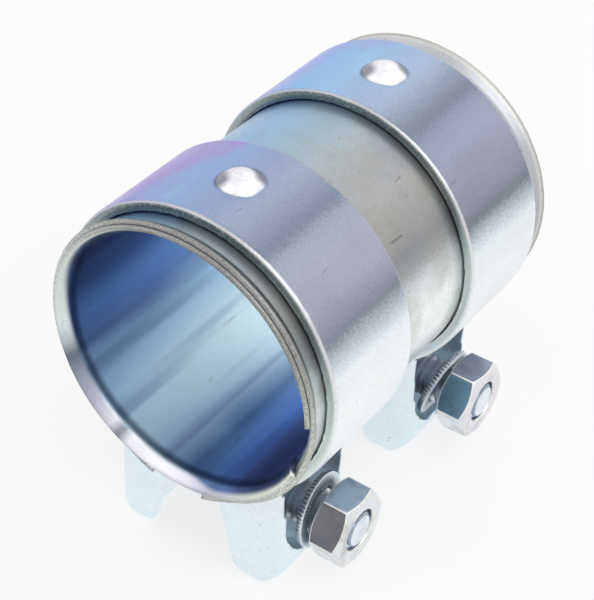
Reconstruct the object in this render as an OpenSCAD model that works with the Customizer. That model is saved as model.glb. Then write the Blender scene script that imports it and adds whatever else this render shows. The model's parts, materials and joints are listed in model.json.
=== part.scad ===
// Double-clamp connector sleeve for two exhaust pipe ends.
// The tube runs along Y and the bolts along X, with the nuts on the +X side and the lugs down.
// The origin is on the tube's axis, halfway along it.

/* [Sleeve] */
// Inside diameter of the sleeve, which takes the two pipe ends
bore_d = 60; // [50:0.5:70]
// Overall length of the sleeve, from mouth to mouth
sleeve_len = 95; // [88:1:130]
// Thickness of each of the two rolled sheets
sheet_t = 1.05; // [0.8:0.05:1.4]
// Radial gap between the two rolled sheets
sheet_gap = 0.15; // [0.1:0.05:0.3]
// Length of the flared mouth, along the tube
flare_len = 2.7; // [2:0.1:3.5]
// How far the flare widens the bore, on the radius
flare_rise = 2.1; // [1.2:0.1:2.6]
// Bend radius where the flare begins, on the bore's side
flare_bend = 3.5; // [3:0.1:5]
// Angle left open along the inner sheet
inner_slit = 26; // [12:1:40]
// Where that opening lies, turned from straight down towards the nuts
inner_slit_at = 80; // [50:1:110]
// Angle left open along the outer sheet, between the lugs
outer_slit = 22; // [12:1:34]

/* [Bands] */
// Width of each clamp band, along the tube
band_w = 28.6; // [24:0.2:32]
// Thickness of the band's strip
band_t = 2.5; // [2:0.1:3]
// Radial gap between the sleeve and a loose band
band_gap = 0.25; // [0.2:0.05:0.5]
// Distance between the middles of the two bands
band_pitch = 53; // [48:0.5:62]
// Rounding of the strip's outer edges
band_edge = 0.5; // [0.3:0.1:0.8]
// Diameter of the raised dimple opposite the lugs
dimple_d = 10.6; // [8:0.2:13]
// Height of the raised dimple above the band
dimple_h = 1.9; // [1.2:0.1:2.4]
// Thickness of the stretched metal at the dimple
dimple_t = 2; // [1.5:0.1:2.5]

/* [Lugs] */
// Opening between the lugs where they leave the ring
lug_gap = 11.2; // [9:0.2:14]
// Angle by which each lug leans away from the other
lug_splay = 14.5; // [8:0.5:18]
// Distance from the middle plane to a lug's outer face
lug_reach = 23.8; // [22.6:0.2:27]
// Depth of the lugs below the bolt's axis
lug_depth = 16.4; // [14.5:0.1:19]
// Thickness of the pressed walls of a lug
lug_wall = 2.5; // [2:0.1:3]
// Bend radius from the ring's outer face into a lug's pocket
root_bend = 5; // [4:0.5:6]
// How far the lug's floor stands back from its edges at the gap
floor_inset = 1.6; // [1:0.1:2.2]
// Rounding of a lug's lower corner at the gap
toe_round = 4; // [2.5:0.1:5]
// Rounding of a lug's lower outer corner
heel_round = 9.8; // [6:0.2:12]
// Rounding of a lug's lower front and rear edges
side_round = 2.8; // [2:0.1:5]
// Rounding of a lug's outer front and rear edges, seen from above
mouth_round = 8; // [4:0.2:9]
// Width of the lobe that each lug wall makes at the gap's lower edge
lobe_w = 5.4; // [4:0.1:7]
// Depth of the notch between the two lobes of a lug
notch_h = 3.4; // [2:0.1:4.5]
// Clearance around a nut or bolt head in its pocket
pocket_gap = 0.3; // [0.2:0.05:0.8]

/* [Fasteners] */
// Distance from the band's outer face down to the bolt's axis
bolt_drop = 7.3; // [6:0.1:10]
// Nominal thread diameter of the bolts
thread_d = 10; // [8:0.5:12]
// Length of a bolt under its head
bolt_len = 50; // [46:1:60]
// Width across the flats of nuts and bolt heads
hex_af = 17; // [14:0.5:18]
// Height of a nut
nut_h = 8; // [6:0.1:10]
// Height of a bolt head
head_h = 6.4; // [5:0.1:7.5]
// Thread pitch, which sets the depth of the thread
pitch = 1.5; // [1:0.25:1.75]
// Radial clearance between a nut's thread and the bolt's, at mid-thread
thread_gap = 0.05; // [0.02:0.01:0.1]
// Diameter of the bolt holes in the lugs
hole_d = 12; // [11:0.1:13]
// Clearance between a bolt head and the lug's floor
head_gap = 0.45; // [0.3:0.05:1]
// Turn of the front nut from lying flat side up
front_nut_turn = 3; // [-30:1:30]
// Turn of the rear nut from lying flat side up
rear_nut_turn = -6; // [-30:1:30]

/* [Washers] */
// Outside diameter of a toothed lock washer
washer_d = 18; // [16:0.2:19]
// Hole diameter of a washer, over the crests of the thread
washer_hole = 11.2; // [11:0.1:12]
// Thickness of a washer
washer_t = 1.9; // [1.4:0.1:2.2]
// Distance from the front nut back to the middle of its washer's outer face
front_back = 2.2; // [2:0.1:4]
// Angle by which the front washer is turned about the upright
front_turn = 5; // [0:1:10]
// Angle by which the front washer leans, bottom towards its nut
front_lean = 3; // [0:0.5:8]
// Distance from the rear nut back to the middle of its washer's outer face
rear_back = 2.7; // [2.6:0.1:4]
// Angle by which the rear washer leans, top towards its nut
rear_lean = 16; // [0:0.5:16]

/* [Hidden] */
$fn = 96;
eps = 0.01;
// Margin by which a cutter passes the face that it cuts
over = 2;
// Distance from the axis to each skin of the sleeve and the bands
bore_r = bore_d / 2;
ply_step = sheet_t + sheet_gap;
sleeve_r = bore_r + ply_step + sheet_t;
band_in_r = sleeve_r + band_gap;
band_out_r = band_in_r + band_t;
// Slope of the flare, and where its bend begins along the tube
flare_angle = atan(flare_rise / flare_len);
bend_at = sleeve_len / 2 - flare_len - flare_bend * tan(flare_angle / 2);
bend_steps = 5;
// Bolt axis and hexagon
bolt_z = -(band_out_r + bolt_drop);
hex_r = hex_af / 2 / cos(30);
pocket_r = hex_r + pocket_gap;
face_r = 0.95 * hex_af / 2;
chamfer_rise = over * tan(30);
// Thread: crest, root and the mid-thread size that stands for it
mid_d = thread_d - 0.65 * pitch;
root_d = thread_d - 1.23 * pitch;
// How much wider than the thread a nut's countersink is
sink_over = 0.6;
// Lug outline
lug_bottom = bolt_z - lug_depth;
splay_top = -(band_out_r - band_t / 2);
lean = tan(lug_splay);
floor_out = (floor_inset + lug_wall) / cos(lug_splay);
pocket_half_w = band_w / 2 - lug_wall;
// How deep a lug is rooted in the ring
root_in = band_t / 2;
// How far above the bolt a pocket reaches its full width, inside the ring
pocket_top = -0.6 * band_in_r;
// Along and across a lug's floor, and the floor's distance from the tube's axis
down = [sin(lug_splay), -cos(lug_splay)];
across = [cos(lug_splay), sin(lug_splay)];
floor_at = (gap_edge(0) + floor_out) * cos(lug_splay);
// Centre and angles of the bend that takes the ring into the floor
root_c = (floor_at + root_bend) * across + beyond(band_out_r + root_bend, floor_at + root_bend) * down;
root_from = atan2(root_c[1], root_c[0]) + 180;
root_to = lug_splay + 180;
// Fasteners along X
head_seat = -(gap_edge(bolt_z - hex_r) + floor_out + head_gap);
bolt_tip = head_seat + bolt_len;
nut_in = bolt_tip - nut_h;
// Sphere of the dimple, and the height to which a lug's blank rises inside the ring
dimple_r = (pow(dimple_d / 2, 2) + pow(dimple_h, 2)) / (2 * dimple_h);
blank_top = -band_in_r / 2;

// Half the opening between the lugs at height z
function gap_edge(z) = lug_gap / 2 + (splay_top - z) * lean;
// Where a circle of radius r passes a line at distance d from its centre
function beyond(r, d) = sqrt(pow(r, 2) - pow(d, 2));
// Points of an arc about c, from angle a to angle b
function arc(c, r, a, b, steps) =
    [for (i = [0 : steps]) c + r * [cos(a + (b - a) * i / steps), sin(a + (b - a) * i / steps)]];
// One skin of the sleeve at depth d outside the bore, from mid-length to the lip
function skin(d) = concat(
    [[bore_r + d, 0]],
    [for (i = [0 : bend_steps])
        [bore_r + flare_bend, bend_at]
        + (flare_bend - d) * [-cos(flare_angle * i / bend_steps), sin(flare_angle * i / bend_steps)]],
    [[bore_r + flare_rise, sleeve_len / 2] + d * [cos(flare_angle), -sin(flare_angle)]]);
function flipped(points) = [for (i = [len(points) - 1 : -1 : 0]) [points[i][0], -points[i][1]]];
function turned(points) = [for (i = [len(points) - 1 : -1 : 0]) points[i]];

// A rolled sheet from depth d, open over slit degrees, its opening turned from straight down
module rolled_sheet(d, slit, slit_at) {
    near = skin(d);
    far = skin(d + sheet_t);
    rotate([-90, 0, 0])
        rotate([0, 0, 90 - slit_at + slit / 2])
            rotate_extrude(angle = 360 - slit, $fn = 144)
                polygon(concat(flipped(near), near, turned(far), turned(flipped(far))));
}

module inner_sleeve() {
    color([0.42, 0.50, 0.72]) rolled_sheet(0, inner_slit, inner_slit_at);
}

module outer_sleeve() {
    color([0.72, 0.76, 0.80]) rolled_sheet(ply_step, outer_slit, 0);
}

// Side view of one lug, in X and Z
module lug_side() {
    toe = [gap_edge(lug_bottom), lug_bottom];
    // The toe's rounding touches the leaning edge and the bottom
    toe_c = toe + [toe_round * tan(45 - lug_splay / 2), toe_round];
    // The outer corner's rounding ends where the toe's begins
    heel = min(heel_round, lug_reach - toe_c[0] - eps);
    heel_c = [lug_reach - heel, lug_bottom + heel];
    polygon(concat(
        [[lug_reach, blank_top], [0, blank_top], [gap_edge(splay_top) - over, splay_top]],
        [[gap_edge(toe_c[1]) - over, toe_c[1]]],
        arc(toe_c, toe_round, 180 + lug_splay, 270, 6),
        arc(heel_c, heel, 270, 360, 10)));
}

// End view of one lug, in Y and Z, and its plan, in Y and X
module lug_end() {
    w = band_w / 2;
    polygon(concat(
        [[-w, 0]],
        arc([-w + side_round, lug_bottom + side_round], side_round, 180, 270, 8),
        arc([w - side_round, lug_bottom + side_round], side_round, 270, 360, 8),
        [[w, 0]]));
}

module lug_plan() {
    w = band_w / 2;
    polygon(concat(
        [[-w, -over]],
        [[w, -over]],
        arc([w - mouth_round, lug_reach - mouth_round], mouth_round, 0, 90, 12),
        arc([-w + mouth_round, lug_reach - mouth_round], mouth_round, 90, 180, 12)));
}

module along_x(length) {
    rotate([90, 0, 90]) linear_extrude(length) children();
}

module lug_blank() {
    intersection() {
        translate([0, band_w / 2, 0]) rotate([90, 0, 0]) linear_extrude(band_w) lug_side();
        along_x(lug_reach + over) lug_end();
        translate([0, 0, lug_bottom - over])
            linear_extrude(-lug_bottom) rotate([0, 0, -90]) mirror([1, 0, 0]) lug_plan();
    }
}

// The pocket for a nut or a head: round about the bolt, widening up to the ring
module pocket() {
    difference() {
        union() {
            translate([0, 0, bolt_z]) rotate([0, 90, 0]) cylinder(r = pocket_r, h = lug_reach + over);
            along_x(lug_reach + over)
                polygon([[-pocket_r, bolt_z], [pocket_r, bolt_z],
                         [pocket_half_w, pocket_top], [-pocket_half_w, pocket_top]]);
        }
        rotate([90, 0, 0]) cylinder(r = band_out_r - root_in, h = band_w + over, center = true);
        leaning_block(floor_out);
        rotate([90, 0, 0]) linear_extrude(band_w + over, center = true) root_fill();
    }
}

// What stays of the ring's bend between its outer face and the floor, in X and Z
module root_fill() {
    polygon(concat(
        arc(root_c, root_bend, root_from, root_to, 8),
        [root_c - (root_bend + root_in) * across,
         (floor_at - root_in) * across + beyond(band_out_r - root_in, floor_at - root_in) * down,
         root_c * (band_out_r - root_in) / (band_out_r + root_bend)]));
}

// What the same bend leaves open behind it, between the lug's walls
module root_hollow() {
    back = arc(root_c, root_bend + lug_wall, root_from, root_to, 8);
    polygon(concat([[0, back[0][1]]], back, [[0, back[len(back) - 1][1]]]));
}

// Everything on the gap's side of a plane that leans with the lug, offset along X
module leaning_block(offset_x) {
    rotate([90, 0, 0])
        linear_extrude(band_w + 2 * over, center = true)
            polygon([[-lug_reach, over], [gap_edge(over) + offset_x, over],
                     [gap_edge(lug_bottom - over) + offset_x, lug_bottom - over],
                     [-lug_reach, lug_bottom - over]]);
}

// What is pressed back at the gap's side: the floor, and the notch between the lobes
module gap_recess() {
    intersection() {
        leaning_block(floor_inset / cos(lug_splay));
        translate([0, -pocket_half_w, lug_bottom - over])
            cube([lug_reach, 2 * pocket_half_w, root_c[1] - lug_bottom + over]);
    }
    rotate([90, 0, 0]) linear_extrude(2 * pocket_half_w, center = true) root_hollow();
    intersection() {
        leaning_block(floor_out);
        translate([0, lobe_w - band_w / 2, lug_bottom - over])
            cube([lug_reach, band_w - 2 * lobe_w, notch_h + over]);
    }
}

module lug() {
    difference() {
        lug_blank();
        pocket();
        translate([0, 0, bolt_z]) rotate([0, 90, 0]) cylinder(d = hole_d, h = lug_reach);
    }
}

module band(y) {
    w = band_w / 2;
    color([0.66, 0.72, 0.86]) translate([0, y, 0]) difference() {
        union() {
            rotate([90, 0, 0]) rotate_extrude($fn = 144)
                polygon([[band_in_r - over, -w], [band_out_r - band_edge, -w],
                         [band_out_r, -w + band_edge], [band_out_r, w - band_edge],
                         [band_out_r - band_edge, w], [band_in_r - over, w]]);
            for (side = [0, 1]) mirror([side, 0, 0]) lug();
            translate([0, 0, band_out_r + dimple_h - dimple_r]) sphere(r = dimple_r, $fn = 64);
        }
        rotate([90, 0, 0]) cylinder(r = band_in_r, h = band_w + 2 * over, center = true, $fn = 144);
        translate([0, 0, band_out_r + dimple_h - dimple_r]) sphere(r = dimple_r - dimple_t, $fn = 64);
        for (side = [0, 1]) mirror([side, 0, 0]) {
            gap_recess();
            intersection() {
                leaning_block(0);
                translate([0, -w - over, lug_bottom - over])
                    cube([lug_reach, band_w + 2 * over, -lug_bottom]);
            }
        }
    }
}

module front_band() band(-band_pitch / 2);
module rear_band() band(band_pitch / 2);

// A hexagon from x = 0 to x = h, flat side up, with its corners turned off at its outer end,
// and at its inner end too if both is true
module hexagon(h, both) {
    inner_r = both ? face_r : face_r + over;
    inner_rise = both ? chamfer_rise : 0;
    rotate([0, 90, 0]) intersection() {
        rotate([0, 0, 30]) cylinder(r = hex_r, h = h, $fn = 6);
        rotate_extrude()
            polygon([[0, 0], [inner_r, 0], [face_r + over, inner_rise],
                     [face_r + over, h - chamfer_rise], [face_r, h], [0, h]]);
    }
}

module bolt(y) {
    tip = thread_d / 2 - root_d / 2;
    color([0.74, 0.76, 0.80]) translate([head_seat, y, bolt_z]) {
        mirror([1, 0, 0]) hexagon(head_h, false);
        rotate([0, 90, 0]) cylinder(d = mid_d, h = bolt_len - tip);
        translate([bolt_len - tip - eps, 0, 0])
            rotate([0, 90, 0]) cylinder(d1 = mid_d, d2 = root_d - tip, h = tip + eps);
    }
}

module front_bolt() bolt(-band_pitch / 2);
module rear_bolt() bolt(band_pitch / 2);

module nut(y, turn) {
    bore = mid_d + 2 * thread_gap;
    mouth = thread_d + sink_over;
    sink = (mouth - bore) / 2;
    color([0.60, 0.66, 0.74]) translate([nut_in, y, bolt_z]) rotate([turn, 0, 0]) difference() {
        hexagon(nut_h, true);
        translate([-over, 0, 0]) rotate([0, 90, 0]) cylinder(d = bore, h = nut_h + 2 * over);
        for (end = [0, 1])
            translate([end * nut_h, 0, 0]) mirror([end, 0, 0])
                translate([-eps, 0, 0]) rotate([0, 90, 0])
                    cylinder(d1 = mouth + 2 * eps, d2 = bore, h = sink + eps);
    }
}

module front_nut() nut(-band_pitch / 2, -front_nut_turn);
module rear_nut() nut(band_pitch / 2, -rear_nut_turn);

// A washer whose outer face is centred on the bolt, turned about the upright and leaned
module washer(y, back, turn, lean_by) {
    color([0.62, 0.66, 0.76]) translate([nut_in - back, y, bolt_z]) rotate([0, lean_by, turn])
        rotate([0, -90, 0]) difference() {
            cylinder(d = washer_d, h = washer_t);
            translate([0, 0, -over]) cylinder(d = washer_hole, h = washer_t + 2 * over);
        }
}

module front_washer() washer(-band_pitch / 2, front_back, front_turn, -front_lean);
module rear_washer() washer(band_pitch / 2, rear_back, 0, rear_lean);

inner_sleeve();
outer_sleeve();
front_band();
rear_band();
front_bolt();
rear_bolt();
front_nut();
rear_nut();
front_washer();
rear_washer();
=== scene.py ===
# %% [markdown]
# # A double-clamp exhaust connector
# This script dresses a imported CAD model of a short steel sleeve that joins two exhaust pipes.
# The real thing is cheap pressed work: two rolled sheets, two pressed bands, two bolts with nuts
# and ribbed washers, all plated with zinc and passivated, which leaves a blue and violet film.
# The CAD holds the sizes and the joints. Each piece is modelled again here with finer edges,
# threads and ribs, in the same place, and gets the plating's colour and wear, with the studio's
# reflections, highlights and shade painted into that colour.

# %% Load the frame
import json
import math

import bmesh
import bpy
from mathutils import Matrix, Quaternion, Vector

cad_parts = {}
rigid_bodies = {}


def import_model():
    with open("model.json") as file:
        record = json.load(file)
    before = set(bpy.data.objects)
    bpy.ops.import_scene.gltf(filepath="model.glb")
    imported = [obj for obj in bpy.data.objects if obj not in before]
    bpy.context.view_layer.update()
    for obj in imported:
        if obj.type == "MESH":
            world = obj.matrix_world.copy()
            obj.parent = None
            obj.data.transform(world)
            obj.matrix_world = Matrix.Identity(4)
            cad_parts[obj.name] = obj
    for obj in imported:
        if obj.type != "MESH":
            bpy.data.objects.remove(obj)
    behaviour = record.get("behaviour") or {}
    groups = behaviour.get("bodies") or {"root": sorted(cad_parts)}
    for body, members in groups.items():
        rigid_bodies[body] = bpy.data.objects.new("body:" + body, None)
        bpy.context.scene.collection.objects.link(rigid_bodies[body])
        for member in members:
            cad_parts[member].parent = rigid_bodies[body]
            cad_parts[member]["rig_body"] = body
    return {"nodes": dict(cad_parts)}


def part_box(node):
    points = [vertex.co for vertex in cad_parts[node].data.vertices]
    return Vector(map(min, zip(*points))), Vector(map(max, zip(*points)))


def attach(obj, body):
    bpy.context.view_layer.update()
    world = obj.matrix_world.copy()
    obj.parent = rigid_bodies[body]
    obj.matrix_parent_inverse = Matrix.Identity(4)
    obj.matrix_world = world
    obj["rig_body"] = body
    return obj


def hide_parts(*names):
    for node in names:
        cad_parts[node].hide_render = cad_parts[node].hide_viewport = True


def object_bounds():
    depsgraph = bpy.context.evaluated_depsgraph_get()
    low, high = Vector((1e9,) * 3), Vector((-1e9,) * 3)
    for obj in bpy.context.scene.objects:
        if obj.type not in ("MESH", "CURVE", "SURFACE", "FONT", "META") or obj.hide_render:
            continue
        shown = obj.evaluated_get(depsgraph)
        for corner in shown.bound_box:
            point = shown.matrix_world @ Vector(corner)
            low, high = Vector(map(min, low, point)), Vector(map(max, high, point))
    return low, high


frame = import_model()
cad_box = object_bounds()
MM = 0.001
print("CAD box in mm:", [[round(c / MM, 1) for c in corner] for corner in cad_box])

# %% [markdown]
# The sizes come from the frame wherever it has them: the sleeve's length from its own box, the
# bands' places from theirs, the bolts' axis from the bolts. What the boxes can't tell, such as a
# sheet's thickness or a thread's pitch, is given here as a real size.

# %% Sizes
def span(node, axis):
    """Lowest and highest value of a CAD node along one axis."""
    low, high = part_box(node)
    return low[axis], high[axis]


X, Y, Z = 0, 1, 2
SLEEVE_HALF = span("inner_sleeve", Y)[1]
BORE_R = 30.0 * MM
SHEET_T = 1.05 * MM
PLY_STEP = SHEET_T + 0.15 * MM
FLARE_LEN = 2.7 * MM
FLARE_RISE = 2.1 * MM
FLARE_BEND = 3.5 * MM
FLARE_ANGLE = math.atan(FLARE_RISE / FLARE_LEN)
INNER_SLIT = (80, 26)
OUTER_SLIT = (0, 22)
BAND_OUT_R = span("front_band", X)[1]
BAND_IN_R = BAND_OUT_R - 2.5 * MM
BOLT_LOW, BOLT_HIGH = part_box("front_bolt")
BOLT_Z = (BOLT_LOW.z + BOLT_HIGH.z) / 2
THREAD_D = 10 * MM
PITCH = 1.5 * MM
HEAD_H = 6.4 * MM
HEX_AF = 17 * MM
NUT_IN, NUT_OUT = span("front_nut", X)
BAND_Y = {side: sum(span(side + "_band", Y)) / 2 for side in ("front", "rear")}
BODY = {node: piece["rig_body"] for node, piece in frame["nodes"].items()}
print("bands at", {side: round(y / MM, 1) for side, y in BAND_Y.items()}, "bolt axis", round(BOLT_Z / MM, 1))

# %% [markdown]
# The photograph looks down on the front mouth from the right with a long lens. The camera's place
# was worked out from the ellipses of the rims, and it leans over by a few degrees.

# %% Camera
CAMERA_PLACE = Vector((166.9, -262.5, 238.2)) * MM
CAMERA_LOOK = Vector((-0.4218, 0.6550, -0.6270))
CAMERA_LEAN = math.radians(3.5)
CAMERA_LENS = 106.3

camera_data = bpy.data.cameras.new("camera")
camera_data.lens = CAMERA_LENS
camera_data.sensor_width = 36
camera_data.clip_start = 0.01
camera = bpy.data.objects.new("camera", camera_data)
camera.rotation_mode = "QUATERNION"
camera.location = CAMERA_PLACE
camera.rotation_quaternion = (CAMERA_LOOK.to_track_quat("-Z", "Y")
                              @ Quaternion((0, 0, 1), CAMERA_LEAN))
bpy.context.scene.collection.objects.link(camera)
bpy.context.scene.camera = camera
print("camera looks along", [round(c, 3) for c in CAMERA_LOOK])

# %% [markdown]
# Small helpers keep the cells short. A piece starts as a bmesh, becomes an object at the origin,
# rides on a body and stands for its CAD node. Polar places are easier to think in here than X and
# Z: the angle is turned from the top of the tube towards the nuts.

# %% Helpers
def polar(vert):
    """Radius and angle (degrees, from the top towards +X) of a vertex about the tube's axis."""
    return math.hypot(vert.co.x, vert.co.z), math.degrees(math.atan2(vert.co.x, vert.co.z))


def set_radius(vert, radius):
    """Move a vertex straight out from the tube's axis to a radius."""
    old = math.hypot(vert.co.x, vert.co.z)
    vert.co.x *= radius / old
    vert.co.z *= radius / old


def finish_piece(mesh, node, materials):
    """Turn a bmesh into the object that stands for a CAD node."""
    data = bpy.data.meshes.new(node + "_dressed")
    mesh.to_mesh(data)
    mesh.free()
    piece = bpy.data.objects.new(node + "_dressed", data)
    bpy.context.scene.collection.objects.link(piece)
    for material in materials:
        data.materials.append(material)
    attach(piece, BODY[node])
    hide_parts(node)
    print(piece.name, len(data.polygons), "faces")
    return piece


def count_open(mesh):
    """How many edges don't have exactly two faces."""
    return sum(1 for edge in mesh.edges if len(edge.link_faces) != 2)

# %% [markdown]
# Every finish here is the same plating seen in different places, so the same steps build each.
# A colour ramp on the angle about the tube's axis gives the film's colour, and the light and dark
# bands that the studio's reflections throw along the tube are painted into the same ramp. Fine
# noise is added to that angle, so where two tones meet the border is grainy, as on rolled steel.
# The patterns read Object coordinates, so they sit still on the metal.

# %% Material helpers
def tone(code):
    """A colour code such as 9ab2e0 as the linear values that shaders work in."""
    parts = [int(code[i:i + 2], 16) / 255 for i in (0, 2, 4)]
    return tuple(((c + 0.055) / 1.055) ** 2.4 if c > 0.04045 else c / 12.92 for c in parts) + (1.0,)


def add(tree, kind, sockets=None, **settings):
    """Add a shader node, set it up and feed its sockets with links or plain values."""
    made = tree.nodes.new("ShaderNode" + kind)
    for name, value in settings.items():
        setattr(made, name, value)
    for key, value in (sockets or {}).items():
        if isinstance(value, bpy.types.NodeSocket):
            tree.links.new(value, made.inputs[key])
        else:
            made.inputs[key].default_value = value
    return made


def calc(tree, operation, a, b=0.0):
    """One step of arithmetic between two sockets or values."""
    return add(tree, "Math", {0: a, 1: b}, operation=operation).outputs[0]


def times(tree, *factors):
    """The product of several sockets or values."""
    product = factors[0]
    for factor in factors[1:]:
        product = calc(tree, "MULTIPLY", product, factor)
    return product


def fade(tree, value, low, high, out_low=0.0, out_high=1.0):
    """Map a value from one range to another, smoothly and clamped."""
    sockets = {"Value": value, "From Min": low, "From Max": high, "To Min": out_low, "To Max": out_high}
    return add(tree, "MapRange", sockets, interpolation_type="SMOOTHSTEP").outputs[0]


def blend_tones(tree, amount, a, b, how="MIX"):
    """Mix two colours, given as sockets, colour codes or linear values."""
    a, b = (tone(c) if isinstance(c, str) else c for c in (a, b))
    return add(tree, "Mix", {0: amount, 6: a, 7: b}, data_type="RGBA", blend_type=how).outputs[2]


def grain(tree, place, scale, detail=2.0, stretch=(1, 1, 1)):
    """Noise at so many features a metre, stretched along each axis."""
    if stretch != (1, 1, 1):
        place = add(tree, "Mapping", {"Vector": place, "Scale": stretch}).outputs[0]
    sockets = {"Vector": place, "Scale": scale, "Detail": detail, "Roughness": 0.55}
    return add(tree, "TexNoise", sockets).outputs["Fac"]


def around(degrees):
    """An angle from the top of the tube as a share of a full turn, with the top at a half."""
    return degrees / 360 + 0.5


def tones_by_angle(tree, turn, stops):
    """A colour ramp whose stops are given in degrees from the top of the tube."""
    ramp = add(tree, "ValToRGB", {"Fac": turn})
    for end in (0, 1):
        ramp.color_ramp.elements[end].position = end
        ramp.color_ramp.elements[end].color = tone(stops[-end][1])
    for angle, code in stops[1:-1]:
        ramp.color_ramp.elements.new(around(angle)).color = tone(code)
    return ramp.outputs["Color"]


print("plating helpers ready, for example", [round(c, 3) for c in tone("9ab2e0")])

# %% Start and finish of a metal
WANDER = 0.02
CRUMBLE = 0.022


def start_metal(name):
    """A new metal with the values that its patterns read."""
    material = bpy.data.materials.new(name)
    material.use_nodes = True
    tree = material.node_tree
    coords = add(tree, "TexCoord").outputs
    place = coords["Object"]
    axes = add(tree, "SeparateXYZ", {0: place}).outputs
    turn = calc(tree, "ARCTAN2", axes["X"], axes["Z"])
    turn = calc(tree, "ADD", times(tree, turn, 1 / (2 * math.pi)), 0.5)
    return material, tree, place, axes, coords["Normal"], turn


def roughen_turn(tree, place, turn, wander=WANDER, crumble=CRUMBLE):
    """Shift an angle by slow waves and by fine crumbs, so that tones don't meet in straight lines."""
    waves = grain(tree, place, 55, 3, (1, 0.35, 1))
    crumbs = grain(tree, place, 2300, 2, (1, 0.6, 1))
    turn = calc(tree, "ADD", turn, times(tree, calc(tree, "SUBTRACT", waves, 0.5), wander))
    return calc(tree, "ADD", turn, times(tree, calc(tree, "SUBTRACT", crumbs, 0.5), crumble))


def finish_metal(tree, place, film_and_painted_light, rough=0.30, metal=0.9, mottle=0.05, peel=0.08, pitted=0.3):
    """Mottle, grain, specks and scratches over a base colour of film and painted light, and the shader that shows
    them.
    """
    shader = tree.nodes["Principled BSDF"]
    patches = grain(tree, place, 70, 2)
    film_and_painted_light = blend_tones(tree, 1.0, film_and_painted_light, fade(tree, patches, 0.3, 0.7, 1 - mottle, 1), "MULTIPLY")
    skin = grain(tree, place, 2100, 2)
    film_and_painted_light = blend_tones(tree, 1.0, film_and_painted_light, fade(tree, skin, 0.3, 0.7, 1 - peel, 1), "MULTIPLY")
    specks = fade(tree, grain(tree, place, 1300, 2), 0.68, 0.74)
    nicks = fade(tree, grain(tree, place, 700, 2, (1, 0.16, 1)), 0.72, 0.76)
    marks = calc(tree, "MAXIMUM", specks, nicks)
    film_and_painted_light = blend_tones(tree, times(tree, marks, pitted), film_and_painted_light, "5a5d66")
    tree.links.new(film_and_painted_light, shader.inputs["Base Color"])
    shader.inputs["Metallic"].default_value = metal
    dull = fade(tree, patches, 0.3, 0.7, rough, rough + 0.08)
    tree.links.new(dull, shader.inputs["Roughness"])
    scratches = grain(tree, place, 3000, 1, (1, 0.02, 1))
    height = calc(tree, "ADD", times(tree, scratches, 0.25), times(tree, skin, 0.3))
    bump = add(tree, "Bump", {"Height": height, "Strength": 0.12, "Distance": 0.15 * MM})
    tree.links.new(bump.outputs[0], shader.inputs["Normal"])


print("a tone's border wanders by up to", round(WANDER * 180, 1), "degrees")

# %% [markdown]
# The two sheets. Their tone by angle is the blue film with painted reflections of the studio.
# Near each mouth the outer sheet is greyer at the front, painted shade under the front band, and
# paler at the rear, painted light, and the flare inside each mouth has painted reflections of its
# own. In the bore the blue is deepest, darkened with painted shade, with pale painted reflections
# in bands that run along the tube.

# %% Sheet finishes
# The outer sheet's film by angle with painted reflections: its dark bands and near-white side are painted
# reflections of the studio.
SHEET_FILM_AND_REFLECTIONS = [(-180, "dde3e8"), (-110, "b4c2d4"), (-60, "b9cde2"), (-40, "9cc0e0"), (-26, "93bade"),
               (-12, "a0c0da"), (0, "a6bcca"), (12, "a5b1b8"), (24, "9fa2a7"), (36, "a8a8a8"),
               (46, "a9a9a8"), (58, "96989b"), (65, "a6a9ab"), (73, "dfe5e8"), (84, "fbffff"),
               (120, "fbffff"), (180, "dde3e8")]
# Painted shade at the front mouth, under the front band, with painted reflections by angle.
FRONT_MOUTH_SHADE = [(-180, "dfe3e2"), (-60, "a9b2ae"), (-25, "819499"), (10, "879b9f"), (50, "8c9c9f"),
               (72, "a8b4b2"), (90, "d7e0da"), (115, "e6efe9"), (180, "dfe3e2")]
# The bore's film by angle with painted reflections and painted shade: the near-white upper wall and the dark
# bands are painted.
BORE_FILM_AND_REFLECTIONS = [(-180, "bce2ff"), (-170, "d2eeff"), (-156, "daf4ff"), (-145, "daf4ff"), (-134, "ccecff"),
              (-124, "bce2ff"), (-114, "aed4f8"), (-100, "92b8e0"), (-86, "5f78ac"), (-70, "3a4276"),
              (-58, "43497c"), (-42, "b9cbe4"), (-10, "f8fcff"), (70, "f8fcff"), (100, "b4c8e6"), (122, "545890"),
              (140, "454a80"), (150, "6a74ae"), (160, "8cb0fa"), (170, "a8d2ff"), (180, "bce2ff")]
# Painted reflections on the flare inside each mouth, by angle.
FLARE_REFLECTIONS = [(-180, "e4e2ee"), (-168, "f5f5fb"), (-155, "f0f0f7"), (-150, "7e8792"), (-145, "dcdce7"),
               (-134, "b6b6c6"), (-122, "979cab"), (-113, "6a7484"), (-106, "bcc8ce"), (-98, "e4ecec"),
               (-70, "d8e1dc"), (-30, "c2c6c2"), (60, "b0b0ac"), (105, "e2e6dc"), (140, "dfe4da"),
               (165, "b9bac8"), (180, "e4e2ee")]
FLARE_FROM = SLEEVE_HALF - FLARE_LEN
BEND_AT = SLEEVE_HALF - FLARE_LEN - FLARE_BEND * math.tan(FLARE_ANGLE / 2)


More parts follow.
